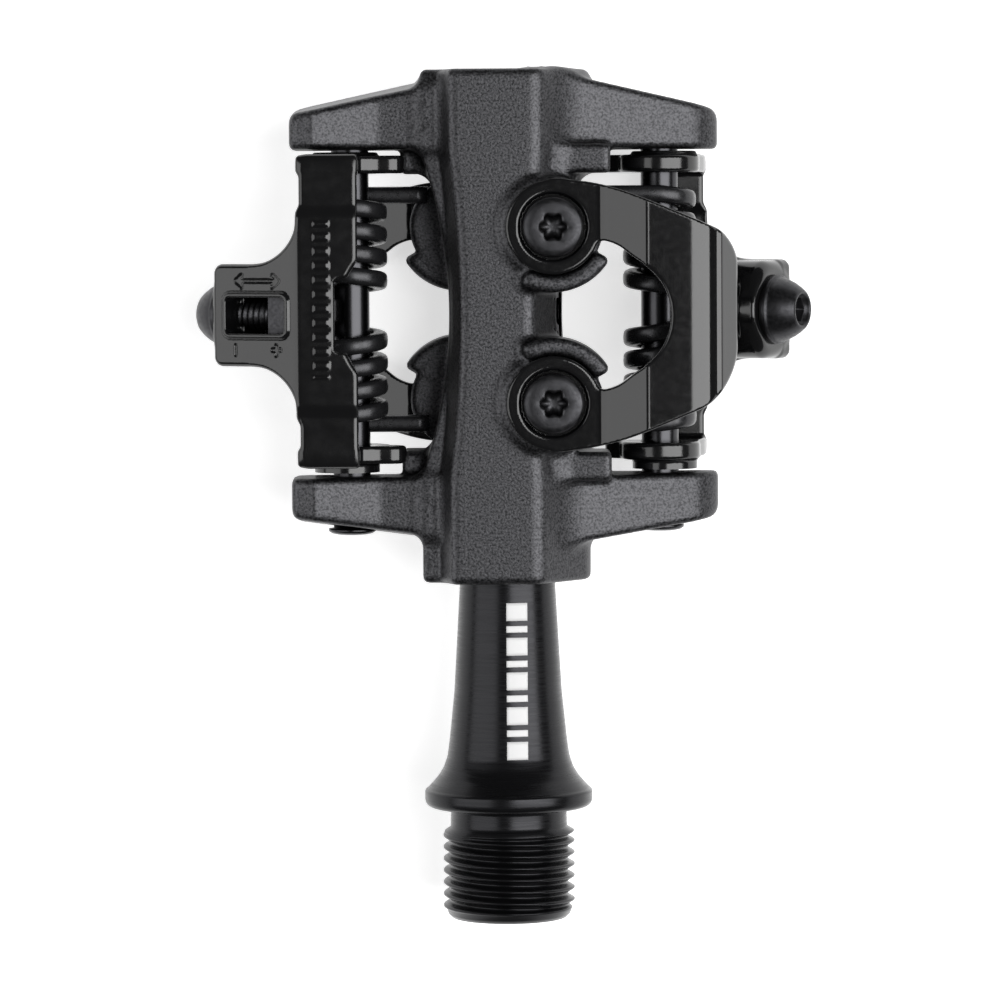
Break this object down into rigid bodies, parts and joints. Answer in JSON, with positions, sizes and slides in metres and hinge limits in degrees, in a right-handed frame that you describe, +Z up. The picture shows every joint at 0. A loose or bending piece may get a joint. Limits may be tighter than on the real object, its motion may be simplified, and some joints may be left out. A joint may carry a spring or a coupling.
{
  "type": "clipless pedal",
  "caption": "Two-sided clipless bicycle pedal: forged body on a threaded spindle, fixed front claw and sprung rear jaw with tension bolt on each side.",
  "frame": {"origin": "spindle axis at the flange face that meets the crank arm", "axes": "+Y outboard along the spindle, +X across the pedal, +Z up out of one cleat side"},
  "size_m": [0.0664, 0.0913, 0.0262],
  "materials": {
    "bead_blasted_aluminium": "bead blasted, black anodised",
    "black_steel": "turned, black chromed",
    "black_cast_steel": "gloss black coated casting",
    "black_sheet_steel": "satin black coated sheet",
    "dark_fastener_steel": "black oxide",
    "spring_steel": "black coated wire",
    "pin_steel": "ground and blackened",
    "bearing_steel": "polished",
    "bushing_polymer": "sintered",
    "black_rubber": "matte",
    "cap_aluminium": "black anodised"
  },
  "bodies": {
    "spindle": {"spindle": "black_steel", "bearing_inner_race": "bearing_steel", "lock_washer": "bearing_steel", "lock_nut": "dark_fastener_steel"},
    "pedal_body": {"body": "bead_blasted_aluminium", "spindle_seal": "black_rubber", "inboard_bushing": "bushing_polymer", "bearing_outer_race": "bearing_steel", "end_cap": "cap_aluminium", "cap_o_ring": "black_rubber", "front_claw_top": "black_sheet_steel", "claw_screws_top": "dark_fastener_steel", "jaw_pin_top": "pin_steel", "spring_outboard_top": "spring_steel", "spring_inboard_top": "spring_steel", "front_claw_bottom": "black_sheet_steel", "claw_screws_bottom": "dark_fastener_steel", "jaw_pin_bottom": "pin_steel", "spring_outboard_bottom": "spring_steel", "spring_inboard_bottom": "spring_steel"},
    "bearing_balls": {"bearing_balls": "bearing_steel"},
    "rear_jaw_top": {"rear_jaw_top": "black_cast_steel"},
    "tension_bolt_top": {"tension_bolt_top": "dark_fastener_steel"},
    "tension_nut_top": {"tension_nut_top": "dark_fastener_steel"},
    "rear_jaw_bottom": {"rear_jaw_bottom": "black_cast_steel"},
    "tension_bolt_bottom": {"tension_bolt_bottom": "dark_fastener_steel"},
    "tension_nut_bottom": {"tension_nut_bottom": "dark_fastener_steel"}
  },
  "joints": [
    {"name": "pedal_spin", "type": "hinge", "parent": "spindle", "child": "pedal_body", "pos_m": [0, 0.0534, 0], "axis": [0, 1, 0], "continuous": true},
    {"name": "ball_orbit", "type": "hinge", "parent": "spindle", "child": "bearing_balls", "pos_m": [0, 0.0681, 0], "axis": [0, 1, 0], "continuous": true},
    {"name": "jaw_open_top", "type": "hinge", "parent": "pedal_body", "child": "rear_jaw_top", "pos_m": [-0.0166, 0.0534, 0.002], "axis": [0, -1, 0], "range_deg": [0, 22], "stiffness_Nm_per_rad": 0.25, "springref_deg": -91.67, "deforming": ["spring_outboard_top", "spring_inboard_top"]},
    {"name": "tension_turn_top", "type": "hinge", "parent": "rear_jaw_top", "child": "tension_bolt_top", "pos_m": [-0.02896, 0.0534, 0.00385], "axis": [-0.866, 0, -0.5], "range_deg": [0, 1262]},
    {"name": "tension_travel_top", "type": "slide", "parent": "rear_jaw_top", "child": "tension_nut_top", "axis": [-0.866, 0, -0.5], "range_m": [0, 0.0028]},
    {"name": "jaw_open_bottom", "type": "hinge", "parent": "pedal_body", "child": "rear_jaw_bottom", "pos_m": [0.0166, 0.0534, -0.002], "axis": [0, -1, 0], "range_deg": [0, 22], "stiffness_Nm_per_rad": 0.25, "springref_deg": -91.67, "deforming": ["spring_outboard_bottom", "spring_inboard_bottom"]},
    {"name": "tension_turn_bottom", "type": "hinge", "parent": "rear_jaw_bottom", "child": "tension_bolt_bottom", "pos_m": [0.02896, 0.0534, -0.00385], "axis": [0.866, 0, 0.5], "range_deg": [0, 1262]},
    {"name": "tension_travel_bottom", "type": "slide", "parent": "rear_jaw_bottom", "child": "tension_nut_bottom", "axis": [0.866, 0, 0.5], "range_m": [0, 0.0028]}
  ],
  "couplings": [
    {"joint": "ball_orbit", "follows": "pedal_spin", "ratio": 0.58947},
    {"joint": "tension_turn_top", "follows": "tension_travel_top", "rad_per_m": 7854},
    {"joint": "tension_turn_bottom", "follows": "tension_travel_bottom", "rad_per_m": 7854}
  ]
}
